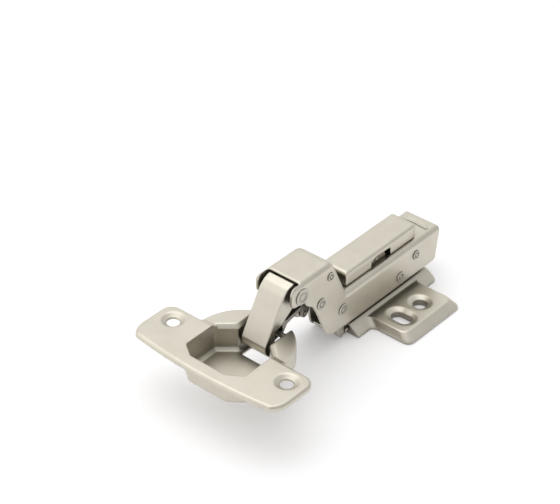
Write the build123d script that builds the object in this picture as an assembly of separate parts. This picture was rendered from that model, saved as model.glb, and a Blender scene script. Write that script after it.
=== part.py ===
from build123d import *
import math
import os

# A concealed cup hinge for an inset door, at rest with the door side open at a right angle.
# X runs from the rear of the arm to the cup, Y across it, Z up from the mounting plate's underside.

# mounting plate
plate_sheet = 1.2
plate_top = 3.2
plate_lip = 0.9
wing_rear_x = -10.2
wing_front_x = 18.6
wing_half_span = 26.0
tab_half_width = 10.4
rear_tab_x = -17.4
front_tab_x = 26.2
tongue_front_x = 31.9
tongue_half_width = 4.9
side_draft = 3.1
end_draft = 1.4
plate_corner_r = 2.6
tab_corner_r = 1.8
ridge_top = 4.2
hole_spacing = 32.0
round_hole_x = 0.0
slot_x = 10.2
screw_hole_r = 2.4
slot_travel = 2.8
dish_r = 4.4
dish_depth = 0.8
dish_ring = 0.35
rail_top = 8.4
rail_half_width = 4.9
rail_rear_x = -11.1
rail_front_x = 25.9
hook_axis_x = 29.5
hook_axis_z = 2.4
hook_bar_length = 1.6

# arm
arm_sheet = 1.2
arm_half_width = 7.7
arm_top = 20.0
arm_bottom = 6.7
arm_rear_x = -21.4
arm_fold_r = 2.2
crank_foot_x = 29.3
crank_top = 36.3
crank_back_x = 35.9
crank_front_x = 52.9
nose_front_x = 57.8
toe_x = 38.5

# pivots in the side view, as x and z
nose_pivot_setback = 4.9
spring_pivot_setback = 2.6
outer_pivot = (nose_front_x - nose_pivot_setback, crank_top - nose_pivot_setback)
inner_pivot = (43.1, 23.0)
spring_pivot = (crank_back_x + spring_pivot_setback, crank_top - nose_pivot_setback)
base_pivot = (31.7, 14.2)
catch_pivot = (0.7, 10.3)
lever_pivot = (-7.8, 14.9)
outer_cup_pin = (64.7, 15.8)
inner_cup_pin = (60.35, 19.35)

# rivets
rivet_proud = 0.45
outer_rivet_head_r = 2.9
small_rivet_head_r = 1.5
inner_rivet_head_r = 2.0
base_rivet_head_r = 2.1
catch_rivet_head_r = 1.85
lever_rivet_head_r = 1.7
shaft_share = 0.72
fit_clearance = 0.02
pivot_clearance = 0.06
side_clearance = 0.3

# links
outer_link_half_width = 5.1
outer_link_sheet = 1.1
outer_link_eye_r = 3.3
outer_link_foot_r = 2.5
inner_link_half_width = 3.4
inner_link_sheet = 1.6
inner_link_eye_r = 2.9
fork_half_gap = 1.95
fork_tine = 0.8
cup_pin_r = 0.95

# cup
cup_sheet = 1.0
cup_r = 17.5
cup_centre_x = 73.4
flange_top = 21.9
flange_rear_x = 73.1
flange_front_x = 94.4
flange_bow = 1.3
flange_half_span = 31.0
flange_rear_corner_r = 4.4
flange_front_corner_r = 8.0
flange_edge_cut = 0.7
flange_lip = 1.9
cup_hole_spacing = 48.0
cup_hole_x = 79.4
cup_hole_r = 2.2
cup_dish_r = 4.1
cup_dish_depth = 0.95
well_half_width = 12.4
well_front_gap = 1.6
throat_half_width = 6.5
throat_end_x = 67.4
well_floor = 11.5
shelf_drop = 0.8
shelf_flare = 1.3
well_corner_r = 1.5
well_floor_edge = 1.1
throat_rear_x = 58.8
skirt_bottom = 14.6
window_x = 66.1
window_length = 5.0
window_width = 8.6

# inner channel that clips on the plate's rail
channel_sheet = 1.0
channel_gap = 0.3
channel_top = 12.9
channel_bottom = 4.6
channel_rear_x = -5.1
channel_front_x = 33.5

# cover and the damper under it
cover_rear_x = -10.8
cover_front_x = 27.5
cover_half_width = 5.5
cover_height = 5.3
cover_sheet = 0.6
cover_corner_r = 1.3
cover_rear_r = 2.2
window_rear_x = 3.5
window_front_x = 14.0
window_height = 3.1
damper_rear_x = 12.7
damper_front_x = 26.3
damper_r = 3.3
bracket_pin_r = 0.55
ear_margin = 1.7
ear_top = 22.6
ear_corner_r = 2.2
rod_r = 0.9
rod_eye_r = 1.85
rod_eye_half_width = 1.0
rod_eye_slack = 0.55
tail_reach = 5.8
tail_angle = 286.0
tail_pin_r = 0.7
tail_sheet = 1.0

# adjusting screws
side_screw_x = -2.0
cam_x = 5.4
screw_r = 2.2
cam_r = 2.7

# release lever
lever_top = 16.4
lever_sheet = 1.0
lever_half_width = 4.6
lever_rear_x = -19.7
lever_rest_gap = 0.8

very_long = 200.0


def side_face(points):
    """Closed outline in the side view, given as x and z."""
    return Plane.XZ * make_face(Polyline(*points, close=True))


def rounded_face(corners):
    """Closed outline from corners given as two coordinates and a corner radius."""
    edges = []
    last_end = None
    first_start = None
    for number, (x, y, radius) in enumerate(corners):
        corner = Vector(x, y)
        to_last = (Vector(*corners[number - 1][:2]) - corner).normalized()
        to_next = (Vector(*corners[(number + 1) % len(corners)][:2]) - corner).normalized()
        half_angle = math.radians(to_last.get_angle(to_next)) / 2
        reach = radius / math.tan(half_angle)
        start, end = corner + to_last * reach, corner + to_next * reach
        if last_end is not None:
            edges.append(Line(last_end, start))
        else:
            first_start = start
        if radius > 0:
            middle = corner + (to_last + to_next).normalized() * (radius / math.sin(half_angle) - radius)
            edges.append(ThreePointArc(start, middle, end))
        last_end = end
    edges.append(Line(last_end, first_start))
    return make_face(Curve() + edges)


def chorded(corners, chords=3):
    """Points of an outline like the rounded one, with each rounded corner cut by a few straight chords."""
    points = []
    for number, (x, y, radius) in enumerate(corners):
        corner = Vector(x, y)
        to_last = (Vector(*corners[number - 1][:2]) - corner).normalized()
        to_next = (Vector(*corners[(number + 1) % len(corners)][:2]) - corner).normalized()
        if radius <= 0:
            points.append((x, y))
            continue
        half_angle = math.radians(to_last.get_angle(to_next)) / 2
        centre = corner + (to_last + to_next).normalized() * (radius / math.sin(half_angle))
        arm_vector = corner + to_last * (radius / math.tan(half_angle)) - centre
        sweep = math.pi - 2 * half_angle
        if to_last.cross(to_next).Z > 0:
            sweep = -sweep
        for step in range(chords + 1):
            angle = sweep * step / chords
            points.append((centre.X + arm_vector.X * math.cos(angle) - arm_vector.Y * math.sin(angle),
                           centre.Y + arm_vector.X * math.sin(angle) + arm_vector.Y * math.cos(angle)))
    return points


def plan_block(points, z_low, z_high):
    """Plan outline raised between two heights."""
    return Pos(0, 0, z_low) * extrude(make_face(Polyline(*points, close=True)), amount=z_high - z_low)


def flat_sided(low, high, z_low, z_high):
    """Solid between two plan outlines of as many points, with flat sides."""
    bottom, top = [(x, y, z_low) for x, y in low], [(x, y, z_high) for x, y in high]
    faces = [make_face(Polyline(*bottom, close=True)), make_face(Polyline(*top, close=True))]
    for number in range(len(low)):
        after = (number + 1) % len(low)
        faces.append(make_face(Polyline(bottom[number], bottom[after], top[after], top[number], close=True)))
    return Solid(Shell(faces))


def rounded_side_block(corners, half_width):
    """Side outline with rounded corners, thickened evenly to both sides of the middle plane."""
    return extrude(Plane.XZ * rounded_face(corners), amount=half_width, both=True)


def side_block(points, half_width):
    """Side outline thickened evenly to both sides of the middle plane."""
    return extrude(side_face(points), amount=half_width, both=True)


def cross_pin(place, radius, y_from, y_to):
    """Round bar along Y between two stations."""
    bar = Cylinder(radius, y_to - y_from)
    return Pos(place[0], (y_from + y_to) / 2, place[1]) * Rot(90, 0, 0) * bar


def hidden_bar(place, radius, y_from, y_to):
    """Twelve-sided bar along Y, for shafts and holes that rivet heads or other pieces hide."""
    bar = extrude(RegularPolygon(radius, 12), amount=y_to - y_from)
    return Pos(place[0], y_to, place[1]) * Rot(90, 0, 0) * bar


def both_sides(solid):
    """The solid and its mirror image across the middle plane."""
    return solid + mirror(solid, about=Plane.XZ)


def box_between(x0, x1, y0, y1, z0, z1):
    """Box given by its limits."""
    return Pos((x0 + x1) / 2, (y0 + y1) / 2, (z0 + z1) / 2) * Box(x1 - x0, y1 - y0, z1 - z0)


def save(name, solid):
    solid.label = name
    export_step(solid, os.path.join("parts", name + ".step"))


def shifted(place, dx, dz):
    return (place[0] + dx, place[1] + dz)


# mounting plate: pressed cross with sloping borders and a folded-up rail
def plate_outline(inset, rise):
    """Cross in plan, from the lip (rise 0) to the top of its sloping border (rise 1); rounded where seen."""
    soft = 0 if inset > 0 else 1
    side_in, end_in = inset + side_draft * rise, inset + end_draft * rise
    rear, front = wing_rear_x + end_in, wing_front_x - end_in
    span, tab = wing_half_span - side_in, tab_half_width - side_in
    half = [
        (rear_tab_x + inset, tab, tab_corner_r * soft),
        (rear, tab, tab_corner_r * soft),
        (rear, span, plate_corner_r * soft),
        (front, span, plate_corner_r * soft),
        (front, tab, tab_corner_r * soft),
        (front_tab_x - inset, tab, 0),
    ]
    return chorded(half + [(x, -y, r) for x, y, r in reversed(half)])


def plate_form(inset, z_low, z_high):
    """Sloping-sided block on the plate's outline."""
    return flat_sided(plate_outline(inset, 0), plate_outline(inset, 1), z_low, z_high)


def slot_sketch(radius, travel, x, y, z):
    """Round or lengthened outline across the hinge."""
    if travel < 0.01:
        return Pos(x, y, z) * Circle(radius)
    return Pos(x, y, z) * Rot(0, 0, 90) * SlotCenterToCenter(travel, radius * 2)


def many_sided(radius, sides=20, x=0, y=0, travel=0):
    """Points of an even-sided outline round a place, lengthened across the hinge by a travel."""
    points = []
    for number in range(sides):
        angle = (number + 0.5) * 2 * math.pi / sides
        stretch = math.copysign(travel / 2, math.sin(angle))
        points.append((x + radius * math.cos(angle), y + radius * math.sin(angle) + stretch))
    return points


def dish(x, y, travel, foot, top, outer_r, hole_r, depth):
    """Sheet dished down round a screw hole: what it adds below, what it takes above, and its hole."""
    low = top - depth
    below = plan_block(many_sided(outer_r, 12, x, y, travel), foot, low + depth / 2)
    above = flat_sided(many_sided(hole_r + dish_ring, 20, x, y, travel), many_sided(outer_r, 20, x, y, travel), low, top)
    hole = extrude(slot_sketch(hole_r, travel, x, y, foot - 1), amount=top - foot + 1)
    return below, above, hole


mounting_plate = plan_block(plate_outline(0, 0), 0, plate_lip) + plate_form(0, plate_lip, plate_top)
mounting_plate -= plate_form(plate_sheet * 0.8, 0, plate_top - plate_sheet)
rail = box_between(rail_rear_x, rail_front_x, -rail_half_width, rail_half_width, plate_top - plate_sheet, rail_top)
rail = fillet(rail.edges().filter_by(Axis.X).group_by(Axis.Z)[-1], 0.9)
ridge_foot = tab_half_width - side_draft
ridge_step = ridge_top - plate_top
ridge_section = Plane.YZ * make_face(Polyline(
    (-ridge_foot, plate_top - plate_sheet), (-ridge_foot, plate_top), (ridge_step - ridge_foot, ridge_top),
    (ridge_foot - ridge_step, ridge_top), (ridge_foot, plate_top), (ridge_foot, plate_top - plate_sheet),
    close=True))
ridge = Pos(rear_tab_x + 1.2, 0, 0) * extrude(ridge_section, amount=front_tab_x - rear_tab_x - 1.2)
tongue = box_between(front_tab_x - 3, tongue_front_x, -tongue_half_width, tongue_half_width, plate_top - plate_sheet,
                     plate_top)
hook_bar_y = rail_half_width + channel_gap + channel_sheet + side_clearance
hook_bar_x = hook_axis_x - 0.9 - side_clearance / 2
tongue += box_between(hook_bar_x - hook_bar_length, hook_bar_x, -hook_bar_y, hook_bar_y, plate_top - plate_sheet * 1.6,
                      plate_top)
rail_hollow = box_between(rail_rear_x - 1, rail_front_x + 1, plate_sheet - rail_half_width,
                          rail_half_width - plate_sheet, -1, rail_top - plate_sheet)
ridge_hollow = box_between(rail_rear_x + plate_sheet, front_tab_x - plate_sheet, ridge_step + plate_sheet * 0.7 - ridge_foot,
                           ridge_foot - ridge_step - plate_sheet * 0.7, -1, ridge_top - plate_sheet)
ridge -= box_between(rear_tab_x - 1, rail_rear_x - plate_sheet, -rail_half_width - side_clearance,
                     rail_half_width + side_clearance, plate_top, very_long)
mounting_plate = mounting_plate + ridge + rail + tongue - rail_hollow - ridge_hollow
for side in (-1, 1):
    for hole_x, travel in ((round_hole_x, 0), (slot_x, slot_travel)):
        below, above, hole = dish(hole_x, side * hole_spacing / 2, travel, 0, plate_top, dish_r, screw_hole_r, dish_depth)
        mounting_plate = mounting_plate + below - above - hole

# arm: cranked channel folded from one sheet
arm_profile = [
    (arm_rear_x, arm_top, 0.9),
    (crank_foot_x, arm_top, 0.9),
    (crank_back_x - 1.3, crank_top - 4.6, 3.0),
    (crank_back_x + 1.0, crank_top, 3.2),
    (nose_front_x, crank_top, 3.0),
    (nose_front_x + 0.1, outer_pivot[1] - 2.6, 2.2),
    (outer_pivot[0] - 1.4, outer_pivot[1] - 3.2, 0.8),
    (outer_pivot[0] - 3.2, outer_pivot[1] - 5.8, 0),
    (inner_pivot[0] + 3.7, inner_pivot[1] + 0.6, 1.2),
    (inner_pivot[0] + 1.6, inner_pivot[1] - 3.2, 0),
    (toe_x + 1.4, arm_bottom + 1.8, 0.8),
    (toe_x - 1.4, arm_bottom, 2.0),
    (arm_rear_x + 2.2, arm_bottom, 1.8),
]
arm_inside = [
    (arm_rear_x - 5, arm_bottom - 20),
    (arm_rear_x - 5, arm_top - arm_sheet),
    (crank_foot_x + 0.8, arm_top - arm_sheet),
    (crank_foot_x + 2.3, arm_top + 1.8),
    (crank_back_x - 0.2, crank_top - 5.1),
    (crank_back_x + 1.4, crank_top - 2.4),
    (crank_back_x + 3.4, crank_top - arm_sheet),
    (crank_front_x, crank_top - arm_sheet),
    (crank_front_x, crank_top + 5),
    (nose_front_x + 5, crank_top + 5),
    (nose_front_x + 5, arm_bottom - 20),
]
folded = [(x, z, r if 1 < number < 4 else 0) for number, (x, z, r) in enumerate(arm_profile)]
arm = rounded_side_block(folded, arm_half_width)
fold_edges = [e for e in arm.edges() if abs(abs(e.center().Y) - arm_half_width) < 0.01
              and e.center().Z > arm_top - 0.1 and e.center().X < nose_front_x - 2.9
              and (e.center().X < crank_back_x + 2.5 or e.center().Z > crank_top - 0.1)]
arm = fillet(fold_edges, arm_fold_r) & rounded_side_block(arm_profile, arm_half_width + 1)
arm -= side_block(arm_inside, arm_half_width - arm_sheet)
cross_rivets = {
    "outer_link_rivet": (outer_pivot, outer_rivet_head_r),
    "spring_rivet": (spring_pivot, small_rivet_head_r),
    "inner_link_rivet": (inner_pivot, inner_rivet_head_r),
    "base_rivet": (base_pivot, base_rivet_head_r),
    "catch_rivet": (catch_pivot, catch_rivet_head_r),
    "lever_rivet": (lever_pivot, lever_rivet_head_r),
}
for place, head_r in cross_rivets.values():
    arm -= hidden_bar(place, head_r * shaft_share + fit_clearance, -arm_half_width - 1, arm_half_width + 1)
tail_pin = (inner_pivot[0] + tail_reach * math.cos(math.radians(tail_angle)),
            inner_pivot[1] + tail_reach * math.sin(math.radians(tail_angle)))
rod_z = tail_pin[1]
slot_half = damper_r + side_clearance
arm -= box_between(cam_x - 3.2, damper_front_x + side_clearance, -slot_half, slot_half, arm_top - arm_sheet - 1, arm_top + 1)
arm -= plan_block(many_sided(screw_r + side_clearance, 12, side_screw_x), arm_top - arm_sheet * 2, arm_top + arm_sheet)


def turned_across(place, stages, sides=16):
    """Many-sided turned form about a cross axis, from stages of station, station, radius and radius."""
    form = None
    for y_from, y_to, r_from, r_to in stages:
        stage = flat_sided(many_sided(r_from, sides), many_sided(r_to, sides), y_from, y_to)
        form = stage if form is None else form + stage
    return Pos(place[0], 0, place[1]) * Rot(-90, 0, 0) * form


def rivet(place, head_r):
    """Rivet with a flat head on one side and an upset end with a dimple on the other."""
    outside = arm_half_width + fit_clearance
    end = outside + rivet_proud
    soft = rivet_proud * 0.5
    shaft = hidden_bar(place, head_r * shaft_share, -outside, outside)
    heads = turned_across(place, [(-end, -outside, head_r, head_r), (outside, end - soft, head_r, head_r),
                                  (end - soft, end, head_r, head_r - soft)])
    dimple_r = head_r * 0.45
    dimple = turned_across(place, [(end - rivet_proud, end + 0.01, dimple_r * 0.4, dimple_r)])
    return shaft + heads - dimple


rivets = {name: rivet(place, head_r) for name, (place, head_r) in cross_rivets.items()}

# outer link: folded channel from the nose down to the cup's deeper pin
web_top = shifted(outer_pivot, 1.0, 4.5)
web_bend = shifted(outer_pivot, 3.9, 3.7)
web_knee = shifted(outer_pivot, 5.9, 1.7)
web_foot = shifted(outer_cup_pin, 3.2, 2.0)
web_end = shifted(outer_cup_pin, 2.9, -0.3)
bend_r = 2.6
knee_r = 5.0
outer_link_profile = [
    (*web_top, 0),
    (*web_bend, bend_r),
    (*web_knee, knee_r),
    (*web_foot, 0.8),
    (*web_end, 0),
    (*shifted(outer_cup_pin, 0.6, -outer_link_foot_r + 0.1), 0),
    (*shifted(outer_cup_pin, -outer_link_foot_r + 0.1, -0.8), 0),
    (*shifted(outer_cup_pin, -1.7, 2.6), 0),
    (*shifted(outer_cup_pin, -1.7, 5.9), 0),
    (*shifted(outer_cup_pin, -4.6, 6.6), 1.0),
    (*shifted(outer_pivot, -1.2, 0.2 - outer_link_eye_r), 0),
    (*shifted(outer_pivot, 0.1 - outer_link_eye_r, 0.6), 0),
    (*shifted(outer_pivot, -1.6, 3.3), 0),
    (*shifted(outer_pivot, 0.4, 3.3), 0),
]
inset = outer_link_sheet
link_hollow = [
    (*shifted(web_top, -6, -inset), 0),
    (*shifted(web_top, -0.1, -inset), 0),
    (*shifted(web_bend, -0.5, -inset), bend_r - inset),
    (*shifted(web_knee, -inset * 1.15, -0.35), knee_r - inset),
    (*shifted(web_foot, -inset * 1.2, -0.3), 0),
    (*shifted(web_end, -inset, 0), 0),
    (*shifted(web_end, -inset, -8), 0),
    (*shifted(outer_cup_pin, -22, -8), 0),
]
outer_link = rounded_side_block(outer_link_profile, outer_link_half_width)
outer_link += cross_pin(outer_pivot, outer_link_eye_r, -outer_link_half_width, outer_link_half_width)
outer_link += cross_pin(outer_cup_pin, outer_link_foot_r, -outer_link_half_width, outer_link_half_width)
outer_link -= rounded_side_block(link_hollow, outer_link_half_width - outer_link_sheet)
outer_shaft_r = outer_rivet_head_r * shaft_share
outer_link -= cross_pin(outer_pivot, outer_shaft_r + pivot_clearance, -very_long, very_long)
outer_link -= cross_pin(outer_cup_pin, cup_pin_r + pivot_clearance, -very_long, very_long)

# inner link: strap rolled round its rivet, forked at the cup end
link_run = math.hypot(inner_cup_pin[0] - inner_pivot[0], inner_cup_pin[1] - inner_pivot[1])
link_slope = math.degrees(math.atan2(inner_cup_pin[1] - inner_pivot[1], inner_cup_pin[0] - inner_pivot[0]))
tine_outside = fork_half_gap + fork_tine
fork_profile = [
    (0, -inner_link_sheet / 2),
    (link_run - 5.2, -inner_link_sheet / 2),
    (link_run - 3.2, -tine_outside),
    (link_run + 2.2, -tine_outside),
    (link_run + 2.2, -fork_half_gap),
    (link_run - 2.9, -fork_half_gap),
    (link_run - 2.9, fork_half_gap),
    (link_run + 0.9, fork_half_gap),
    (link_run + 0.9, tine_outside),
    (link_run - 3.2, tine_outside),
    (link_run - 5.2, inner_link_sheet / 2),
    (0, inner_link_sheet / 2),
]
inner_shaft_r = inner_rivet_head_r * shaft_share
inner_link = side_block(fork_profile, inner_link_half_width)
inner_link += cross_pin((0, 0), inner_link_eye_r, -inner_link_half_width, inner_link_half_width)
inner_link = Pos(inner_pivot[0], 0, inner_pivot[1]) * Rot(0, -link_slope, 0) * inner_link
tail_ends = Pos(*inner_pivot) * Circle(inner_link_eye_r - 0.4) + Pos(*tail_pin) * Circle(tail_pin_r + 0.9)
tail_outline = Plane.XZ * make_hull(tail_ends.edges())
tail_inside = rod_eye_half_width + side_clearance
tail = extrude(tail_outline, amount=tail_inside + tail_sheet, both=True)
rod_space = cross_pin(tail_pin, rod_eye_r + side_clearance, -tail_inside, tail_inside)
rod_space += box_between(tail_pin[0] - 9, tail_pin[0], -tail_inside, tail_inside, rod_z - 1.5, rod_z + 1.5)
inner_link = inner_link + tail - rod_space
inner_link -= cross_pin(tail_pin, tail_pin_r + fit_clearance, -very_long, very_long)
inner_link -= cross_pin(inner_pivot, inner_shaft_r + pivot_clearance, -very_long, very_long)
tail_pin_y = tail_inside + tail_sheet + 0.2
damper_link_pin = cross_pin(tail_pin, tail_pin_r, -tail_pin_y, tail_pin_y)

# closing spring: two close turns beside each flange of the outer link
turn_r = 0.28
coil_r = outer_shaft_r + pivot_clearance + turn_r + 0.25
coil_start = outer_link_half_width + side_clearance / 2
coil_y = (coil_start + turn_r, coil_start + turn_r * 3)


def coil(place, middle_r, wire_r, stations):
    """Close turns of round wire, as ribs about a cross axis."""
    stages = []
    for y in stations:
        crest, valley = middle_r + wire_r, middle_r + wire_r * 0.2
        stages += [(y - wire_r, y - wire_r * 0.5, valley, crest), (y - wire_r * 0.5, y + wire_r * 0.5, crest, crest),
                   (y + wire_r * 0.5, y + wire_r, crest, valley)]
    bore = hidden_bar(place, middle_r - wire_r + 0.1, stations[0] - wire_r * 2, stations[-1] + wire_r * 2)
    return turned_across(place, stages, sides=12) - bore


leg_start = shifted(outer_pivot, -0.2, coil_r)
leg_end = shifted(spring_pivot, 0, small_rivet_head_r * shaft_share + turn_r + 0.1)
leg_length = math.hypot(leg_end[0] - leg_start[0], leg_end[1] - leg_start[1])
leg_angle = math.degrees(math.atan2(leg_end[1] - leg_start[1], leg_end[0] - leg_start[0]))
leg_middle = ((leg_start[0] + leg_end[0]) / 2, (leg_start[1] + leg_end[1]) / 2)
leg = Pos(leg_middle[0], sum(coil_y) / 2, leg_middle[1]) * Rot(0, 90 - leg_angle, 0)
leg = leg * extrude(RegularPolygon(turn_r * 1.1, 8), amount=leg_length / 2 + 0.6, both=True)
bridge = Pos(leg_end[0], 0, leg_end[1]) * Rot(90, 0, 0)
bridge = bridge * extrude(RegularPolygon(turn_r, 8), amount=coil_y[1], both=True)
closing_spring = both_sides(coil(outer_pivot, coil_r, turn_r, coil_y) + leg) + bridge

# cup: flange, well and half-moon shelves pressed from one sheet


def well_outline(grow):
    """Plan of the well, cut to the boring circle, with a throat towards the arm."""
    side_x = cup_centre_x + math.sqrt(cup_r ** 2 - well_half_width ** 2)
    front_reach = cup_r - well_front_gap
    front_y = math.sqrt(cup_r ** 2 - front_reach ** 2) + grow * 0.4
    corner_r = well_corner_r + grow
    throat_y = throat_half_width + grow
    half = [
        (cup_centre_x - cup_r - 4, throat_y, 0),
        (throat_end_x - grow * 0.4, throat_y, corner_r),
        (flange_rear_x - 0.6 - grow * 0.4, well_half_width + grow, corner_r),
        (side_x + grow * 0.4, well_half_width + grow, corner_r),
        (cup_centre_x + front_reach + grow, front_y, corner_r),
    ]
    return chorded(half + [(x, -y, r) for x, y, r in reversed(half)])


def flange_outline(shrink):
    """Plan of the flange with its bowed outer edge."""
    rear, front, span = flange_rear_x + shrink, flange_front_x - shrink, flange_half_span - shrink
    rear_r, front_r = (flange_rear_corner_r - shrink) * (shrink == 0), flange_front_corner_r - shrink
    plate = rounded_face([(rear, -span, rear_r), (front, -span, front_r), (front, span, front_r), (rear, span, rear_r)])
    bow_span = flange_half_span - flange_front_corner_r
    bow_r = (bow_span ** 2 + flange_bow ** 2) / (2 * flange_bow)
    return plate & (Pos(front - bow_r, 0) * Circle(bow_r))


flange_under = flange_top - cup_sheet
shelf_top = flange_top - shelf_drop
cup_bottom = well_floor - cup_sheet
flange = Pos(0, 0, flange_top - flange_lip) * extrude(flange_outline(0), amount=flange_lip)
flange = chamfer(flange.faces().sort_by(Axis.Z)[-1].edges(), flange_edge_cut)
flange -= Pos(0, 0, flange_top - flange_lip - 1) * extrude(flange_outline(cup_sheet), amount=flange_lip - cup_sheet + 1)
half_disc = Circle(cup_r) - Pos(cup_r, 0) * Rectangle(cup_r * 2, cup_r * 2 + 1)
inner_disc = Circle(cup_r - cup_sheet) - Pos(cup_r, 0) * Rectangle(cup_r * 2, cup_r * 2 + 1)
shelf = Pos(cup_centre_x, 0, shelf_top - cup_sheet) * extrude(half_disc, amount=cup_sheet)
skirt = Pos(cup_centre_x, 0, skirt_bottom) * extrude(half_disc - inner_disc, amount=shelf_top - skirt_bottom)
shelf_join = box_between(flange_rear_x - 0.4, flange_rear_x + cup_sheet * 1.4, throat_half_width + 3,
                         cup_r - 0.3, shelf_top - cup_sheet, flange_top - 0.3)
body = plan_block(well_outline(cup_sheet), cup_bottom, flange_under + 0.3)
body -= box_between(-very_long, throat_rear_x, -very_long, very_long, -very_long, very_long)
body -= box_between(-very_long, flange_rear_x, -very_long, very_long, shelf_top, very_long)
body = chamfer(body.faces().sort_by(Axis.Z)[0].edges(), well_floor_edge + 0.4)
cup_solid = body + flange + shelf + skirt + both_sides(shelf_join)
hollow = plan_block(well_outline(0), well_floor, flange_top + 5)
hollow = chamfer(hollow.faces().sort_by(Axis.Z)[0].edges(), well_floor_edge)
flare_rims = [Pos(0, 0, shelf_top - shelf_flare) * make_face(Polyline(*well_outline(0), close=True)),
              Pos(0, 0, shelf_top) * make_face(Polyline(*well_outline(shelf_flare), close=True))]
flare = loft(flare_rims, ruled=True)
hollow += flare & box_between(-very_long, flange_rear_x - 1.2, -very_long, very_long, 0, very_long)
cup_solid -= hollow
cup_solid -= box_between(window_x - window_length / 2, window_x + window_length / 2, -window_width / 2,
                         window_width / 2, cup_bottom - 1, well_floor + 1)
for side in (-1, 1):
    dish_foot = flange_top - cup_dish_depth - cup_sheet * 0.9
    below, above, hole = dish(cup_hole_x, side * cup_hole_spacing / 2, 0, dish_foot, flange_top, cup_dish_r, cup_hole_r,
                              cup_dish_depth)
    cup_solid = cup_solid + below - above - hole
pin_outside = throat_half_width + cup_sheet
pin_hole_r = (cup_pin_r + fit_clearance) / math.cos(math.pi / 12)
for place in (outer_cup_pin, inner_cup_pin):
    cup_solid -= hidden_bar(place, pin_hole_r, -pin_outside - 1, pin_outside + 1)
cup = cup_solid

# cup pins, pressed through the cheeks of the throat
pin_y = pin_outside - 0.05
outer_cup_pin_bar = cross_pin(outer_cup_pin, cup_pin_r, -pin_y, pin_y)
inner_cup_pin_bar = cross_pin(inner_cup_pin, cup_pin_r, -pin_y, pin_y)

# inner channel: clips on the rail, hooked at the front
channel_half_width = rail_half_width + channel_gap + channel_sheet
channel_side = [
    (channel_rear_x, channel_bottom + 1.5),
    (channel_rear_x, channel_top),
    (base_pivot[0] - 5.4, channel_top),
    (base_pivot[0] - 1.6, base_pivot[1] + 2.8),
    (base_pivot[0] + 1.4, base_pivot[1] + 2.6),
    (channel_front_x, base_pivot[1] - 1.2),
    (channel_front_x - 0.6, channel_bottom + 0.6),
    (hook_axis_x + 2.6, hook_axis_z),
    (hook_axis_x + 0.9, hook_axis_z - 1.5),
    (hook_axis_x - 0.8, hook_axis_z - 0.9),
    (hook_axis_x - 0.6, channel_bottom),
    (channel_rear_x + 1.5, channel_bottom),
]
channel_hollow = [
    (channel_rear_x - 1, hook_axis_z - 9),
    (channel_rear_x - 1, channel_top - channel_sheet),
    (base_pivot[0] - 5.4, channel_top - channel_sheet),
    (base_pivot[0] - 5.4, channel_top + 9),
    (channel_front_x + 5, channel_top + 9),
    (channel_front_x + 5, hook_axis_z - 9),
]
inner_channel = side_block(channel_side, channel_half_width)
inner_channel -= side_block(channel_hollow, channel_half_width - channel_sheet)
for place, head_r in (cross_rivets["base_rivet"], cross_rivets["catch_rivet"]):
    inner_channel -= hidden_bar(place, head_r * shaft_share + fit_clearance, -very_long, very_long)

# damper cover with a notch in each side
cover_top = arm_top + cover_height
cover_side = [
    (cover_rear_x, arm_top, 0), (cover_rear_x, cover_top, cover_corner_r),
    (cover_front_x, cover_top, cover_corner_r), (cover_front_x, arm_top, 0),
]
cover_section = [
    (-cover_half_width, arm_top, 0), (-cover_half_width, cover_top, cover_corner_r),
    (cover_half_width, cover_top, cover_corner_r), (cover_half_width, arm_top, 0),
]
cover_plan = [
    (cover_rear_x, -cover_half_width, cover_rear_r), (cover_front_x, -cover_half_width, 0),
    (cover_front_x, cover_half_width, 0), (cover_rear_x, cover_half_width, cover_rear_r),
]
cover = rounded_side_block(cover_side, cover_half_width)
cover &= extrude(Plane.YZ * rounded_face(cover_section), amount=very_long, both=True)
cover &= Pos(0, 0, arm_top) * extrude(rounded_face(cover_plan), amount=cover_height)
cover -= box_between(cover_rear_x + cover_sheet, cover_front_x - cover_sheet, -cover_half_width + cover_sheet,
                     cover_half_width - cover_sheet, arm_top - 1, cover_top - cover_sheet)
notch = [
    (window_rear_x, arm_top - 1),
    (window_rear_x + 0.4, arm_top + window_height - 0.4),
    (window_rear_x + 1.0, arm_top + window_height),
    (window_front_x - 3.2, arm_top + window_height + 0.3),
    (window_front_x - 0.3, arm_top + window_height - 0.7),
    (window_front_x, arm_top - 1),
]
cover -= side_block(notch, very_long)
damper_cover = cover

# damper: cylinder in the arm's slot, its rod, and the bracket seen through the notch
ear_pin_place = (window_front_x - 3.6, arm_top + 1.7)
damper_length = damper_front_x - damper_rear_x
along_x = Pos((damper_rear_x + damper_front_x) / 2, 0, rod_z) * Rot(0, 90, 0)
damper_body = along_x * Cylinder(damper_r, damper_length)
lug_half = 1.6
lug = box_between(damper_rear_x, damper_rear_x + 1.8, -lug_half, lug_half, rod_z, ear_pin_place[1] + 0.8)
lug += box_between(ear_pin_place[0], damper_rear_x + 1.8, -lug_half, lug_half, arm_top + cover_sheet + side_clearance,
                   ear_pin_place[1] + 0.8)
lug += cross_pin(ear_pin_place, bracket_pin_r + 0.25, -lug_half, lug_half)
damper_body += lug
damper_body -= cross_pin(ear_pin_place, bracket_pin_r + fit_clearance, -very_long, very_long)
damper_bore = extrude(RegularPolygon(rod_r + side_clearance, 12), amount=damper_length * 0.85)
damper_bore = Pos(damper_front_x - damper_length * 0.85, 0, rod_z) * Rot(0, 90, 0) * damper_bore
damper_body -= damper_bore
rod_start = damper_front_x - 7.0
damper_rod = Pos((rod_start + tail_pin[0]) / 2, 0, rod_z) * Rot(0, 90, 0) * Cylinder(rod_r, tail_pin[0] - rod_start)
damper_rod += cross_pin(tail_pin, rod_eye_r, -rod_eye_half_width, rod_eye_half_width)
damper_rod -= cross_pin(tail_pin, tail_pin_r + rod_eye_slack, -very_long, very_long)
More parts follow.
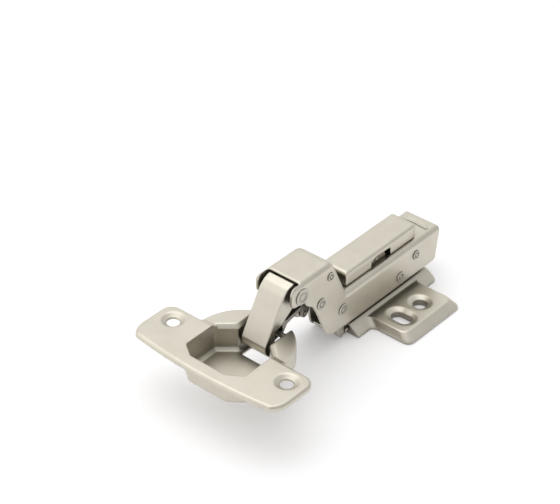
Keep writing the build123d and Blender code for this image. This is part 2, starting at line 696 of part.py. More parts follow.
ear_rear_x, ear_front_x = window_rear_x + ear_margin, window_front_x - ear_margin
ear_side = [
    (ear_rear_x, arm_top, 0),
    (ear_rear_x, ear_top, ear_corner_r),
    (ear_front_x, ear_top, ear_corner_r),
    (ear_front_x, arm_top, 0),
]
damper_bracket = rounded_side_block(ear_side, cover_half_width - cover_sheet - 0.5)
damper_bracket -= box_between(ear_rear_x - 1, ear_front_x + 1, cover_sheet + 1.1 - cover_half_width,
                              cover_half_width - cover_sheet - 1.1, arm_top + 0.6, cover_top)
damper_bracket -= Pos(cam_x, 0, arm_top) * Cylinder(cam_r + side_clearance, 4)
damper_bracket -= cross_pin(ear_pin_place, bracket_pin_r + fit_clearance, -very_long, very_long)
bracket_pin_y = cover_half_width - cover_sheet - 0.15
damper_pin = cross_pin(ear_pin_place, bracket_pin_r, -bracket_pin_y, bracket_pin_y)

# adjusting screws between the arm and the inner channel
thread_top = arm_top - 0.3
channel_seat = channel_top + 0.05
side_screw = Pos(side_screw_x, 0, (channel_seat + thread_top) / 2) * Cylinder(screw_r, thread_top - channel_seat)
side_screw -= Pos(side_screw_x, 0, thread_top) * Box(3.4, 0.7, 2.4)
side_screw -= Pos(side_screw_x, 0, thread_top) * Box(0.7, 3.4, 2.4)
depth_cam = Pos(cam_x, 0, (channel_seat + thread_top) / 2) * Cylinder(cam_r, thread_top - channel_seat)
depth_cam -= Pos(cam_x, 0, thread_top) * Box(4.0, 0.8, 2.4)
depth_cam -= Pos(cam_x, 0, thread_top) * Box(0.8, 4.0, 2.4)

# release lever on the rear rivet
lever_shaft_r = lever_rivet_head_r * shaft_share
lever_eye_r = lever_shaft_r + 0.9
catch_x = rail_rear_x - 0.5
lever_side = [
    (lever_rear_x, lever_top - 1.4),
    (lever_rear_x + 1.2, lever_top),
    (lever_pivot[0], lever_pivot[1] + lever_eye_r - 0.3),
    (lever_pivot[0] + lever_eye_r - 0.3, lever_pivot[1]),
    (lever_pivot[0], lever_pivot[1] - lever_eye_r + 0.3),
    (catch_x + 0.6, lever_pivot[1] - 4.0),
    (catch_x - 0.2, rail_top + 1.6),
    (catch_x - 0.2, plate_top + lever_rest_gap * 2),
    (catch_x - 1.6, plate_top + lever_rest_gap),
    (catch_x - 4.6, plate_top + lever_rest_gap + 1.8),
    (lever_rear_x + 0.9, arm_bottom + 2.6),
]
lever_hollow = [
    (lever_rear_x + lever_sheet, 0),
    (lever_rear_x + lever_sheet, lever_top - 1.6),
    (lever_rear_x + 1.7, lever_top - lever_sheet),
    (lever_pivot[0] - 2.6, lever_top - lever_sheet),
    (lever_pivot[0] - 2.6, lever_top + 4),
    (lever_pivot[0] + 6, lever_top + 4),
    (lever_pivot[0] + 6, 0),
]
release_lever = side_block(lever_side, lever_half_width)
release_lever -= side_block(lever_hollow, lever_half_width - lever_sheet)
release_lever += cross_pin(lever_pivot, lever_eye_r, -lever_half_width, -lever_half_width + lever_sheet)
release_lever += cross_pin(lever_pivot, lever_eye_r, lever_half_width - lever_sheet, lever_half_width)
nose_half = rail_half_width - plate_sheet - side_clearance
nose_top = rail_top - plate_sheet - side_clearance
release_lever += box_between(catch_x - 1.6, catch_x - 0.2, -lever_half_width + 0.4, lever_half_width - 0.4,
                             nose_top - 1.5, nose_top)
release_lever += box_between(catch_x - 1.0, rail_rear_x + 0.7, -nose_half, nose_half, nose_top - 1.5, nose_top)
release_lever -= cross_pin(lever_pivot, lever_shaft_r + pivot_clearance, -very_long, very_long)
lever_wire = 0.35
lever_coil_r = lever_shaft_r + pivot_clearance + lever_wire + 0.1
lever_stations = [(step - 1) * lever_wire * 2 for step in range(3)]
lever_spring = coil(lever_pivot, lever_coil_r, lever_wire, lever_stations)

nodes = {
    "mounting_plate": mounting_plate,
    "arm": arm,
    "outer_link": outer_link,
    "inner_link": inner_link,
    "closing_spring": closing_spring,
    "cup": cup,
    "outer_link_cup_pin": outer_cup_pin_bar,
    "inner_link_cup_pin": inner_cup_pin_bar,
    "damper_link_pin": damper_link_pin,
    "inner_channel": inner_channel,
    "damper_cover": damper_cover,
    "damper_body": damper_body,
    "damper_rod": damper_rod,
    "damper_bracket": damper_bracket,
    "damper_bracket_pin": damper_pin,
    "side_adjusting_screw": side_screw,
    "depth_adjusting_cam": depth_cam,
    "release_lever": release_lever,
    "release_lever_spring": lever_spring,
}
nodes.update(rivets)

os.makedirs("parts", exist_ok=True)
for node_name, node_solid in nodes.items():
    save(node_name, node_solid)
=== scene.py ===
import bpy
import math
from mathutils import Matrix, Vector


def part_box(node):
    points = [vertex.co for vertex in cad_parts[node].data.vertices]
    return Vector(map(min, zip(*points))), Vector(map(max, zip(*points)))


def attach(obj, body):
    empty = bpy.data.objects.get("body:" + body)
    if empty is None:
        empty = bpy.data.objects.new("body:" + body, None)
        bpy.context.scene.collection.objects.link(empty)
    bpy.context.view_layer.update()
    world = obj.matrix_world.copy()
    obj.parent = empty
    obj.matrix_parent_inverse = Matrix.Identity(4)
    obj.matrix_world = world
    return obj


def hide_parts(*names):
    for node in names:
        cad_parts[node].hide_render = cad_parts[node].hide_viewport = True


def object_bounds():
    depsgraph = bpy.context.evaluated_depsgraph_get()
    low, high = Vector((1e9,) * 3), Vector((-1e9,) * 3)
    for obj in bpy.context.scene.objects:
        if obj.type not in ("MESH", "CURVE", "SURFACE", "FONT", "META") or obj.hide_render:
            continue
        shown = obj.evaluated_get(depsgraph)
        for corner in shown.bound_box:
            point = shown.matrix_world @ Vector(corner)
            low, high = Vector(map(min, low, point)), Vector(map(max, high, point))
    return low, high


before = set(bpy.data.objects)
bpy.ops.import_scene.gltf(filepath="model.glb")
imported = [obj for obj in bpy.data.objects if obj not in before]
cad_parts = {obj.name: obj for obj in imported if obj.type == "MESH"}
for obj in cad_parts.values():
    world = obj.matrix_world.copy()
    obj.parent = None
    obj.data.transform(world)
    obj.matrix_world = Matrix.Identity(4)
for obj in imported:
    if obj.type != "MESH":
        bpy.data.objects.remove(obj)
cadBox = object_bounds()
mm = 0.001
bpy.context.scene.view_settings.view_transform = "Standard"
print("frame loaded,", len(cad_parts), "nodes")


# Camera at the photograph's viewing angle. Place in mm, roll in degrees, clip in metres.
viewSettings = {
    "place": (452.28, 338.45, 422.08),
    "looks": (-0.618, -0.5262, -0.584),
    "roll": 0.26,
    "lens": 131.06,
    "sensor": 36.0,
    "clip": (0.05, 20.0),
}


def makeCamera(settings):
    camData = bpy.data.cameras.new("camera")
    camData.lens = settings["lens"]
    camData.sensor_fit = "HORIZONTAL"
    camData.sensor_width = settings["sensor"]
    camData.clip_start, camData.clip_end = settings["clip"]
    camera = bpy.data.objects.new("camera", camData)
    bpy.context.scene.collection.objects.link(camera)
    turn = Vector(settings["looks"]).to_track_quat("-Z", "Y").to_matrix()
    roll = Matrix.Rotation(math.radians(settings["roll"]), 3, "Z")
    camera.matrix_world = Matrix.Translation(Vector(settings["place"]) * mm) @ (turn @ roll).to_4x4()
    bpy.context.scene.camera = camera


makeCamera(viewSettings)
print("camera set")


# Options are set before the sockets' values, because some options change the sockets.
def addNode(tree, kind, values=None, **options):
    node = tree.nodes.new(kind)
    for option, choice in options.items():
        setattr(node, option, choice)
    for socket, value in (values or {}).items():
        node.inputs[socket].default_value = value
    return node


# Light: two soft lamps, and a soft sky that is brightest at the far left. Metres and watts.
lampSettings = {
    "overhead": {"place": (0.0, -0.2, 0.75), "size": 0.8, "power": 1.5},
    "side": {"place": (0.55, -0.5, 0.4), "size": 0.9, "power": 0.8},
}
lampAim = (0.03, 0.0, 0.02)
skySettings = {"towards": (-0.15, -0.75, 0.65), "from": -0.1, "to": 0.95, "low": 0.85, "high": 1.33}


def addLamp(name, settings, aim):
    lampData = bpy.data.lights.new(name, "AREA")
    lampData.shape = "DISK"
    lampData.size = settings["size"]
    lampData.energy = settings["power"]
    lamp = bpy.data.objects.new(name, lampData)
    bpy.context.scene.collection.objects.link(lamp)
    lamp.location = settings["place"]
    lamp.rotation_mode = "QUATERNION"
    lamp.rotation_quaternion = (Vector(aim) - Vector(settings["place"])).to_track_quat("-Z", "Y")


def makeWorld(settings):
    world = bpy.data.worlds.new("studio")
    world.use_nodes = True
    bpy.context.scene.world = world
    tree, links = world.node_tree, world.node_tree.links
    tree.nodes.clear()
    coords = addNode(tree, "ShaderNodeTexCoord")
    towards = addNode(tree, "ShaderNodeVectorMath", {1: Vector(settings["towards"]).normalized()},
                      operation="DOT_PRODUCT")
    ramp = addNode(tree, "ShaderNodeMapRange",
                   {"From Min": settings["from"], "From Max": settings["to"],
                    "To Min": settings["low"], "To Max": settings["high"]},
                   interpolation_type="SMOOTHSTEP")
    lit = addNode(tree, "ShaderNodeBackground")
    seen = addNode(tree, "ShaderNodeBackground", {"Color": (1, 1, 1, 1)})
    path = addNode(tree, "ShaderNodeLightPath")
    mix = addNode(tree, "ShaderNodeMixShader")
    out = addNode(tree, "ShaderNodeOutputWorld")
    links.new(coords.outputs["Generated"], towards.inputs[0])
    links.new(towards.outputs["Value"], ramp.inputs["Value"])
    links.new(ramp.outputs["Result"], lit.inputs["Strength"])
    links.new(path.outputs["Is Camera Ray"], mix.inputs["Fac"])
    links.new(lit.outputs["Background"], mix.inputs[1])
    links.new(seen.outputs["Background"], mix.inputs[2])
    links.new(mix.outputs["Shader"], out.inputs["Surface"])


for lampName, settings in lampSettings.items():
    addLamp(lampName, settings, lampAim)
makeWorld(skySettings)
print("lights set")


# Floor: pale and plain, so that it keeps the shadow. A faint glow, for camera, glossy and transmission
# rays only, lets it look white to the eye and in the metal.
floorSettings = {"size": 6.0, "drop": 0.00002, "colour": (0.84, 0.835, 0.84), "glow": 0.19}


def makeFloor(settings):
    bpy.ops.mesh.primitive_plane_add(size=settings["size"],
                                     location=(0, 0, cadBox[0].z - settings["drop"]))
    floor = bpy.context.object
    floor.name = "floor"
    material = bpy.data.materials.new("floorPaper")
    material.use_nodes = True
    tree, links = material.node_tree, material.node_tree.links
    tree.nodes.clear()
    paper = addNode(tree, "ShaderNodeBsdfDiffuse", {"Color": (*settings["colour"], 1)})
    glow = addNode(tree, "ShaderNodeEmission", {"Strength": settings["glow"]})
    both = addNode(tree, "ShaderNodeAddShader")
    path = addNode(tree, "ShaderNodeLightPath")
    seenOrMirrored = addNode(tree, "ShaderNodeMath", operation="MAXIMUM")
    glowing = addNode(tree, "ShaderNodeMath", operation="MAXIMUM")
    mix = addNode(tree, "ShaderNodeMixShader")
    out = addNode(tree, "ShaderNodeOutputMaterial")
    links.new(path.outputs["Is Camera Ray"], seenOrMirrored.inputs[0])
    links.new(path.outputs["Is Glossy Ray"], seenOrMirrored.inputs[1])
    links.new(seenOrMirrored.outputs["Value"], glowing.inputs[0])
    links.new(path.outputs["Is Transmission Ray"], glowing.inputs[1])
    links.new(paper.outputs["BSDF"], both.inputs[0])
    links.new(glow.outputs["Emission"], both.inputs[1])
    links.new(glowing.outputs["Value"], mix.inputs["Fac"])
    links.new(paper.outputs["BSDF"], mix.inputs[1])
    links.new(both.outputs["Shader"], mix.inputs[2])
    links.new(mix.outputs["Shader"], out.inputs["Surface"])
    floor.data.materials.append(material)


makeFloor(floorSettings)
print("floor laid")


# Shared effects, as node groups that give only colours, masks, values and normals.
maskSamples = 6


def newGroup(name, inputs, outputs):
    group = bpy.data.node_groups.new(name, "ShaderNodeTree")
    for label, kind, value in inputs:
        socket = group.interface.new_socket(label, in_out="INPUT", socket_type="NodeSocket" + kind)
        if value is not None:
            socket.default_value = value
    for label, kind in outputs:
        group.interface.new_socket(label, in_out="OUTPUT", socket_type="NodeSocket" + kind)
    return group, group.nodes.new("NodeGroupInput"), group.nodes.new("NodeGroupOutput")


# White along the edges, where the rounded normal departs from the flat one. The finishes use it to paint a
# highlight along every edge, concave ones too.
def makeEdgeMask():
    group, take, give = newGroup("edgeMask", [("Radius", "Float", 0.0003), ("Sharpness", "Float", 4.0)],
                                 [("Mask", "Float"), ("Normal", "Vector")])
    links = group.links
    soft = addNode(group, "ShaderNodeBevel", samples=maskSamples)
    flat = addNode(group, "ShaderNodeNewGeometry")
    dot = addNode(group, "ShaderNodeVectorMath", operation="DOT_PRODUCT")
    bent = addNode(group, "ShaderNodeMath", {0: 1.0}, operation="SUBTRACT")
    gain = addNode(group, "ShaderNodeMath", operation="MULTIPLY", use_clamp=True)
    links.new(take.outputs["Radius"], soft.inputs["Radius"])
    links.new(soft.outputs["Normal"], dot.inputs[0])
    links.new(flat.outputs["Normal"], dot.inputs[1])
    links.new(dot.outputs["Value"], bent.inputs[1])
    links.new(bent.outputs["Value"], gain.inputs[0])
    links.new(take.outputs["Sharpness"], gain.inputs[1])
    links.new(gain.outputs["Value"], give.inputs["Mask"])
    links.new(soft.outputs["Normal"], give.inputs["Normal"])
    return group


# Fine grain of the plating, and broad faint clouds.
def makeSatinGrain():
    group, take, give = newGroup(
        "satinGrain",
        [("Vector", "Vector", None), ("Fine Scale", "Float", 5200.0), ("Cloud Scale", "Float", 120.0)],
        [("Fine", "Float"), ("Cloud", "Float")])
    links = group.links
    fine = addNode(group, "ShaderNodeTexNoise", {"Detail": 3.0, "Roughness": 0.6})
    cloud = addNode(group, "ShaderNodeTexNoise", {"Detail": 4.0, "Roughness": 0.55})
    links.new(take.outputs["Vector"], fine.inputs["Vector"])
    links.new(take.outputs["Vector"], cloud.inputs["Vector"])
    links.new(take.outputs["Fine Scale"], fine.inputs["Scale"])
    links.new(take.outputs["Cloud Scale"], cloud.inputs["Scale"])
    links.new(fine.outputs["Fac"], give.inputs["Fine"])
    links.new(cloud.outputs["Fac"], give.inputs["Cloud"])
    return group


# White in hollows, where little of the sky is seen. The finishes use it to paint shade there.
def makeHollowShadeMask():
    group, take, give = newGroup(
        "hollowShadeMask",
        [("Distance", "Float", 0.01), ("Open", "Float", 0.85), ("Shut", "Float", 0.25)],
        [("Mask", "Float")])
    links = group.links
    shelter = addNode(group, "ShaderNodeAmbientOcclusion", samples=maskSamples)
    depth = addNode(group, "ShaderNodeMapRange", interpolation_type="SMOOTHSTEP")
    links.new(take.outputs["Distance"], shelter.inputs["Distance"])
    links.new(shelter.outputs["AO"], depth.inputs["Value"])
    links.new(take.outputs["Open"], depth.inputs["From Min"])
    links.new(take.outputs["Shut"], depth.inputs["From Max"])
    links.new(depth.outputs["Result"], give.inputs["Mask"])
    return group


edgeMask = makeEdgeMask()
hollowShadeMask = makeHollowShadeMask()
satinGrain = makeSatinGrain()


# Finishes. Colours: base and shade of the clouds, a lighter colour painted as a highlight along the edges,
# a dark colour painted as shade in hollows. Hollow and edgeRadius in mm.
finishes = {
    "satinNickel": {
        "base": (0.605, 0.570, 0.490), "shade": (0.565, 0.530, 0.452),
        "edge": (0.68, 0.65, 0.575), "hollowShade": (0.20, 0.185, 0.152),
        "hollow": 9.0, "rough": (0.32, 0.44), "grain": 0.10, "edgeRadius": 0.35},
    # shadedNickel: the same nickel painted darker, as painted shade on the inner channel, release lever and
    # damper body.
    "shadedNickel": {
        "base": (0.50, 0.47, 0.40), "shade": (0.42, 0.395, 0.335),
        "edge": (0.62, 0.59, 0.52), "hollowShade": (0.16, 0.15, 0.125),
        "hollow": 6.0, "rough": (0.32, 0.46), "grain": 0.10, "edgeRadius": 0.25},
    # darkShadedSteel: painted darker still, as painted shade on the inner link in the cup's well.
    "darkShadedSteel": {
        "base": (0.27, 0.255, 0.22), "shade": (0.20, 0.188, 0.162),
        "edge": (0.40, 0.38, 0.335), "hollowShade": (0.09, 0.085, 0.07),
        "hollow": 5.0, "rough": (0.30, 0.44), "grain": 0.10, "edgeRadius": 0.2},
    "rivetSteel": {
        "base": (0.52, 0.49, 0.43), "shade": (0.44, 0.415, 0.36),
        "edge": (0.66, 0.64, 0.58), "hollowShade": (0.10, 0.095, 0.08),
        "hollow": 0.9, "rough": (0.26, 0.40), "grain": 0.06, "edgeRadius": 0.15},
    "springSteel": {
        "base": (0.50, 0.48, 0.43), "shade": (0.40, 0.38, 0.34),
        "edge": (0.60, 0.58, 0.53), "hollowShade": (0.05, 0.05, 0.04),
        "hollow": 0.2, "rough": (0.30, 0.44), "grain": 0.05, "edgeRadius": 0.1},
    "bracketBronze": {
        "base": (0.36, 0.31, 0.26), "shade": (0.25, 0.215, 0.18),
        "edge": (0.52, 0.47, 0.40), "hollowShade": (0.10, 0.085, 0.07),
        "hollow": 3.0, "rough": (0.34, 0.5), "grain": 0.10, "edgeRadius": 0.2},
}
# Ranges of the two noises that stand for the full change of colour and gloss, and the bump in metres.
grainSettings = {"clouds": (0.3, 0.6), "gloss": (0.3, 0.7), "height": 0.00004}


def makeFinish(name, look, grainLook):
    material = bpy.data.materials.new(name)
    material.use_nodes = True
    tree, links = material.node_tree, material.node_tree.links
    shader = tree.nodes["Principled BSDF"]
    shader.inputs["Metallic"].default_value = 1.0
    coords = addNode(tree, "ShaderNodeTexCoord")
    grain = addNode(tree, "ShaderNodeGroup", node_tree=satinGrain)
    edge = addNode(tree, "ShaderNodeGroup", {"Radius": look["edgeRadius"] * mm}, node_tree=edgeMask)
    hollow = addNode(tree, "ShaderNodeGroup", {"Distance": look["hollow"] * mm}, node_tree=hollowShadeMask)
    spread = addNode(tree, "ShaderNodeMapRange",
                     {"From Min": grainLook["clouds"][0], "From Max": grainLook["clouds"][1]})
    # sockets of a colour mix: 0 the factor, 6 and 7 the colours
    patches = addNode(tree, "ShaderNodeMix", {6: (*look["shade"], 1), 7: (*look["base"], 1)},
                      data_type="RGBA")
    # The edge mix paints a highlight along every edge, concave ones too, and the hollow mix paints shade
    # into the hollows.
    edgeHighlight = addNode(tree, "ShaderNodeMix", {7: (*look["edge"], 1)}, data_type="RGBA")
    hollowShaded = addNode(tree, "ShaderNodeMix", {7: (*look["hollowShade"], 1)}, data_type="RGBA")
    gloss = addNode(tree, "ShaderNodeMapRange",
                    {"From Min": grainLook["gloss"][0], "From Max": grainLook["gloss"][1],
                     "To Min": look["rough"][0], "To Max": look["rough"][1]})
    bump = addNode(tree, "ShaderNodeBump", {"Strength": look["grain"], "Distance": grainLook["height"]})
    links.new(coords.outputs["Object"], grain.inputs["Vector"])
    links.new(grain.outputs["Cloud"], spread.inputs["Value"])
    links.new(spread.outputs["Result"], patches.inputs[0])
    links.new(edge.outputs["Mask"], edgeHighlight.inputs[0])
    links.new(patches.outputs[2], edgeHighlight.inputs[6])
    links.new(hollow.outputs["Mask"], hollowShaded.inputs[0])
    links.new(edgeHighlight.outputs[2], hollowShaded.inputs[6])
    links.new(hollowShaded.outputs[2], shader.inputs["Base Color"])
    links.new(grain.outputs["Fine"], gloss.inputs["Value"])
    links.new(gloss.outputs["Result"], shader.inputs["Roughness"])
    links.new(grain.outputs["Fine"], bump.inputs["Height"])
    links.new(edge.outputs["Normal"], bump.inputs["Normal"])
    links.new(bump.outputs["Normal"], shader.inputs["Normal"])
    return material


materials = {name: makeFinish(name, look, grainSettings) for name, look in finishes.items()}

# The other nodes are rivets, pins, screws and the damper's rod, and get the rivets' steel.
nodeFinishes = {
    "mounting_plate": "satinNickel", "arm": "satinNickel", "cup": "satinNickel",
    # The inner link, inner channel, release lever and damper body get darker finishes, as painted shade.
    "damper_cover": "satinNickel", "outer_link": "satinNickel", "inner_link": "darkShadedSteel",
    "inner_channel": "shadedNickel", "release_lever": "shadedNickel", "damper_body": "shadedNickel",
    "closing_spring": "springSteel", "release_lever_spring": "springSteel",
    "damper_bracket": "bracketBronze",
}


def giveFinish(piece, finish):
    piece.data.materials.clear()
    piece.data.materials.append(materials[finish])


for nodeName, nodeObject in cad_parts.items():
    giveFinish(nodeObject, nodeFinishes.get(nodeName, "rivetSteel"))
print("finishes made")


# Pressed sheet: a welded copy of the solid, remeshed in even grains of so many mm, smoothed until its
# bends and rims are soft, and thinned to a share of its faces. The arm's folds at the crank's top get
# more smoothing: full weight up to x full, none at x front, rising over fade mm above z low.
pressedSettings = {
    "cup": {"body": "cup", "grain": 0.26, "passes": 7, "keep": 0.5},
    "mounting_plate": {"body": "arm_and_plate", "grain": 0.28, "passes": 7, "keep": 0.45},
    "arm": {"body": "arm_and_plate", "grain": 0.28, "passes": 5, "keep": 0.45,
            "folds": {"rear": 30.0, "full": 46.0, "front": 50.0, "low": 33.2, "fade": 0.6, "passes": 26}},
    "damper_cover": {"body": "arm_and_plate", "grain": 0.24, "passes": 9, "keep": 0.45},
    "outer_link": {"body": "outer_link", "grain": 0.24, "passes": 4, "keep": 0.45},
}
# Small folded pieces: a welded copy with its edges rounded by a bevel, radius in mm.
softSettings = {
    "inner_link": {"body": "inner_link", "radius": 0.2},
    "inner_channel": {"body": "arm_and_plate", "radius": 0.2},
    "release_lever": {"body": "release_lever", "radius": 0.2},
    "damper_bracket": {"body": "arm_and_plate", "radius": 0.08},
}
softEdge = {"segments": 2, "flatWeight": 60}
bevelAngle = 30  # edges sharper than this are rounded
copyWeld = 0.001
smoothFactor = 0.5


def makeActive(piece):
    bpy.ops.object.select_all(action="DESELECT")
    piece.select_set(True)
    bpy.context.view_layer.objects.active = piece


def weldedCopy(nodeName, pieceName):
    piece = bpy.data.objects.new(pieceName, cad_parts[nodeName].data.copy())
    bpy.context.scene.collection.objects.link(piece)
    makeActive(piece)
    bpy.ops.object.mode_set(mode="EDIT")
    bpy.ops.mesh.select_all(action="SELECT")
    bpy.ops.mesh.remove_doubles(threshold=copyWeld * mm)
    bpy.ops.object.mode_set(mode="OBJECT")
    return piece


def applyModifiers(piece):
    bpy.context.view_layer.objects.active = piece
    for modifier in list(piece.modifiers):
        bpy.ops.object.modifier_apply(modifier=modifier.name)


def roundEdges(piece, width, segments):
    bevel = piece.modifiers.new("edges", "BEVEL")
    bevel.width = width * mm
    bevel.segments = segments
    bevel.limit_method = "ANGLE"
    bevel.angle_limit = math.radians(bevelAngle)
    return bevel


def addSmoothing(piece, name, passes):
    ease = piece.modifiers.new(name, "SMOOTH")
    ease.factor = smoothFactor
    ease.iterations = passes
    return ease


def softPiece(nodeName, settings):
    piece = weldedCopy(nodeName, nodeName + "_soft")
    bpy.ops.object.shade_smooth()
    roundEdges(piece, settings["radius"], softEdge["segments"]).use_clamp_overlap = False
    level = piece.modifiers.new("normals", "WEIGHTED_NORMAL")
    level.weight = softEdge["flatWeight"]
    applyModifiers(piece)
    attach(piece, settings["body"])
    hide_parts(nodeName)
    return piece


def markFolds(piece, folds):
    group = piece.vertex_groups.new(name="folds")
    for vertex in piece.data.vertices:
        x, z = vertex.co.x / mm, vertex.co.z / mm
        if x > folds["rear"] and z > folds["low"]:
            along = max(0.0, (folds["front"] - x) / (folds["front"] - folds["full"]))
            group.add([vertex.index], min(1.0, along, (z - folds["low"]) / folds["fade"]), "REPLACE")


def pressedPiece(nodeName, settings):
    piece = weldedCopy(nodeName, nodeName + "_pressed")
    even = piece.modifiers.new("even", "REMESH")
    even.mode = "VOXEL"
    even.voxel_size = settings["grain"] * mm
    if "folds" in settings:
        applyModifiers(piece)
        markFolds(piece, settings["folds"])
        addSmoothing(piece, "round", settings["folds"]["passes"]).vertex_group = "folds"
    addSmoothing(piece, "ease", settings["passes"])
    thin = piece.modifiers.new("thin", "DECIMATE")
    thin.ratio = settings["keep"]
    applyModifiers(piece)
    bpy.ops.object.shade_smooth()
    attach(piece, settings["body"])
    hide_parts(nodeName)
    return piece


sheetPieces = {nodeName: pressedPiece(nodeName, settings) for nodeName, settings in pressedSettings.items()}
sheetPieces.update({nodeName: softPiece(nodeName, settings) for nodeName, settings in softSettings.items()})
for nodeName, piece in sheetPieces.items():
    giveFinish(piece, nodeFinishes[nodeName])
    print(nodeName, "softened,", len(piece.data.polygons), "faces")


# Rivets, each turned from a circle. Place is x and z of the axis, head the head's radius, all in mm.
rivetSettings = {
    "outer_link_rivet": {"place": (52.9, 31.4), "head": 2.9},
    "spring_rivet": {"place": (38.5, 31.4), "head": 1.5},
    "inner_link_rivet": {"place": (43.1, 23.0), "head": 2.0},
    "base_rivet": {"place": (31.7, 14.2), "head": 2.1},
    "catch_rivet": {"place": (0.7, 10.3), "head": 1.85},
    "lever_rivet": {"place": (-7.8, 14.9), "head": 1.7},
}
# Stages along every rivet: distance across the hinge in mm, and radius as a share of the head's.
rivetStages = (
    (-8.17, 0.90), (-8.10, 1.0), (-7.72, 1.0), (-7.72, 0.72), (7.72, 0.72), (7.72, 1.0), (7.98, 1.0),
    (8.12, 0.93), (8.15, 0.84), (8.14, 0.68), (7.86, 0.62), (7.84, 0.46), (8.10, 0.39), (8.15, 0.29),
    (8.11, 0.10))
rivetSides = 40
solidWeld = 0.0005
solidSmoothAngle = 40  # shading is smooth over edges flatter than this


def startCircle(name, radius, place, rotation, sides, fill):
    bpy.ops.object.select_all(action="DESELECT")
    bpy.ops.mesh.primitive_circle_add(vertices=sides, radius=radius * mm, fill_type=fill,
                                      location=Vector(place) * mm, rotation=rotation)
    piece = bpy.context.object
    piece.name = name
    return piece


def pushFace(step, scale=None, around=None):
    bpy.ops.mesh.extrude_region_move(TRANSFORM_OT_translate={"value": Vector(step) * mm})
    if scale:
        bpy.ops.transform.resize(value=scale, center_override=Vector(around) * mm)


def selectFaces(piece, wanted):
    bpy.ops.object.mode_set(mode="EDIT")
    bpy.ops.mesh.select_mode(type="FACE")
    bpy.ops.mesh.select_all(action="DESELECT")
    bpy.ops.object.mode_set(mode="OBJECT")
    bpy.ops.object.transform_apply(location=True, rotation=True, scale=True)
    for polygon in piece.data.polygons:
        polygon.select = wanted(polygon)
    bpy.ops.object.mode_set(mode="EDIT")


def finishSolid(piece, material, body, *nodeNames):
    makeActive(piece)
    bpy.ops.object.mode_set(mode="EDIT")
    bpy.ops.mesh.select_all(action="SELECT")
    bpy.ops.mesh.remove_doubles(threshold=solidWeld * mm)
    bpy.ops.mesh.normals_make_consistent(inside=False)
    bpy.ops.object.mode_set(mode="OBJECT")
    bpy.ops.object.transform_apply(location=True, rotation=True, scale=True)
    giveFinish(piece, material)
    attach(piece, body)
    for nodeName in nodeNames:
        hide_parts(nodeName)


def turnRivet(nodeName, settings):
    x, z = settings["place"]
    firstY, firstShare = rivetStages[0]
    piece = startCircle(nodeName + "_turned", settings["head"] * firstShare, (x, firstY, z),
                        (math.radians(90), 0, 0), rivetSides, "NGON")
    bpy.ops.object.mode_set(mode="EDIT")
    bpy.ops.mesh.select_all(action="SELECT")
    for (yWas, shareWas), (y, share) in zip(rivetStages, rivetStages[1:]):
        grow = share / shareWas
        pushFace((0, y - yWas, 0), (grow, 1, grow), (x, y, z))
    bpy.ops.object.mode_set(mode="OBJECT")
    bpy.ops.object.shade_smooth_by_angle(angle=math.radians(solidSmoothAngle))
    finishSolid(piece, "rivetSteel", "arm_and_plate", nodeName)


for nodeName, settings in rivetSettings.items():
    turnRivet(nodeName, settings)
print(len(rivetSettings), "rivets turned")


# Springs, wound from a small circle, in mm. From is where the first turn starts across the hinge.
wireShape = {"sides": 10, "stepsPerTurn": 28, "smoothAngle": 50}
leverSpring = {"place": (-7.8, 14.9), "wire": 0.34, "turns": 2, "pitch": 0.69, "from": -0.70, "inset": 0.35}
# Two coils beside the outer link's flanges. The wire's outer end runs in three lengths, given as
# shares, straight back to the rivet in the crank, and turns round it in the hook's two steps.
closingSpring = {
    "place": (52.9, 31.4), "radius": 3.25, "wire": 0.13, "turns": 3, "pitch": 0.275, "from": 5.40,
    "to": (38.5, 32.86), "legShares": (0.03, 0.85, 0.12), "hook": ((-0.9, 0, -0.5), (-0.6, 0, -0.9)),
    "endReach": 0.05,
}


def windWire(name, settings, radius, side):
    x, z = settings["place"]
    start = settings["from"] * side
    piece = startCircle(name, settings["wire"], (x, start, z), (0, math.radians(90), 0),
                        wireShape["sides"], "NOTHING")
    bpy.ops.object.transform_apply(location=False, rotation=True, scale=False)
    bpy.ops.object.mode_set(mode="EDIT")
    bpy.ops.mesh.select_all(action="SELECT")
    bpy.ops.transform.translate(value=(0, 0, radius * mm))
    bpy.ops.object.mode_set(mode="OBJECT")
    wind = piece.modifiers.new("wind", "SCREW")
    wind.axis = "Y"
    wind.angle = math.radians(360)
    wind.iterations = settings["turns"]
    wind.screw_offset = settings["pitch"] * side * mm
    wind.steps = wind.render_steps = wireShape["stepsPerTurn"]
    wind.use_merge_vertices = False
    applyModifiers(piece)
    bpy.ops.object.mode_set(mode="EDIT")
    bpy.ops.mesh.select_all(action="SELECT")
    bpy.ops.mesh.fill_holes(sides=0)
    bpy.ops.object.mode_set(mode="OBJECT")
    bpy.ops.object.shade_smooth_by_angle(angle=math.radians(wireShape["smoothAngle"]))
    return piece


def drawLeg(coil, settings, side):
    (x, z), (toX, toZ) = settings["place"], settings["to"]
    endY = (settings["from"] + settings["pitch"] * settings["turns"]) * side * mm
    reach = settings["endReach"] * mm
    leg = Vector((toX - x, 0, toZ - z - settings["radius"]))
    # the wire's ends are the only faces with more than four corners
    selectFaces(coil, lambda polygon: len(polygon.vertices) > 4 and abs(polygon.center.y - endY) < reach)
    for share in settings["legShares"]:
        pushFace(leg * share)
    for step in settings["hook"]:
        pushFace(step)
    bpy.ops.object.mode_set(mode="OBJECT")


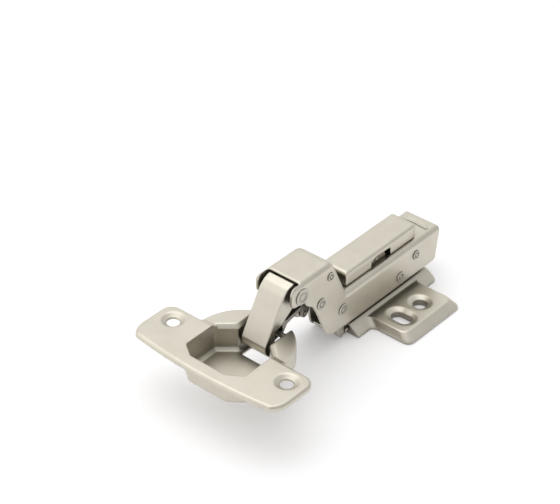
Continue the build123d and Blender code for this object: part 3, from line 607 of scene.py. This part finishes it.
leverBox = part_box("release_lever_spring")
leverRadius = (leverBox[1].z - leverBox[0].z) / mm / 2 - leverSpring["inset"]
leverWire = windWire("release_lever_spring_wound", leverSpring, leverRadius, 1)
finishSolid(leverWire, "springSteel", "arm_and_plate", "release_lever_spring")
for side, sideName in ((1, "left"), (-1, "right")):
    coil = windWire("closing_spring_wound_" + sideName, closingSpring, closingSpring["radius"], side)
    drawLeg(coil, closingSpring, side)
    finishSolid(coil, "springSteel", "arm_and_plate", "closing_spring")
print("springs wound")


# The shallow crescent pressed into the rear of the arm's top, in mm. It stands proud of the sheet and
# its middle is dished by a share of that. Narrowing takes in its ends, bow curves it.
crescentSettings = {
    "middle": (-16.6, 0.0), "top": 20.0, "length": 11.0, "width": 2.3, "proud": 0.22, "sunk": 0.2,
    "rim": 0.3, "dish": 0.7, "cuts": 15, "narrowing": 0.55, "bow": 0.9, "edge": 0.08, "edgeSegments": 3,
}
facingUp = 0.9  # least z of an upper face's normal


def pressCrescent(settings):
    x, y = settings["middle"]
    proud = settings["proud"]
    deep = proud + settings["sunk"]
    middle = Vector((x, y, settings["top"] + proud - deep / 2))
    bpy.ops.object.select_all(action="DESELECT")
    bpy.ops.mesh.primitive_cube_add(size=1.0, location=middle * mm)
    piece = bpy.context.object
    piece.name = "arm_crescent"
    piece.scale = Vector((settings["width"], settings["length"], deep)) * mm
    bpy.ops.object.transform_apply(location=True, rotation=True, scale=True)
    bpy.ops.object.mode_set(mode="EDIT")
    bpy.ops.mesh.select_all(action="SELECT")
    bpy.ops.mesh.subdivide(number_cuts=settings["cuts"])
    selectFaces(piece, lambda polygon: polygon.normal.z > facingUp)
    bpy.ops.mesh.inset(thickness=settings["rim"] * mm, depth=-proud * settings["dish"] * mm)
    bpy.ops.object.mode_set(mode="OBJECT")
    for vertex in piece.data.vertices:
        across = (vertex.co.y - y * mm) / (settings["length"] * mm / 2)
        narrowed = (vertex.co.x - x * mm) * (1 - settings["narrowing"] * across ** 4)
        vertex.co.x = x * mm + narrowed - settings["bow"] * mm * (1 - across ** 2)
    roundEdges(piece, settings["edge"], settings["edgeSegments"])
    applyModifiers(piece)
    bpy.ops.object.shade_smooth_by_angle(angle=math.radians(solidSmoothAngle))
    finishSolid(piece, "satinNickel", "arm_and_plate")


pressCrescent(crescentSettings)
print("press mark made")
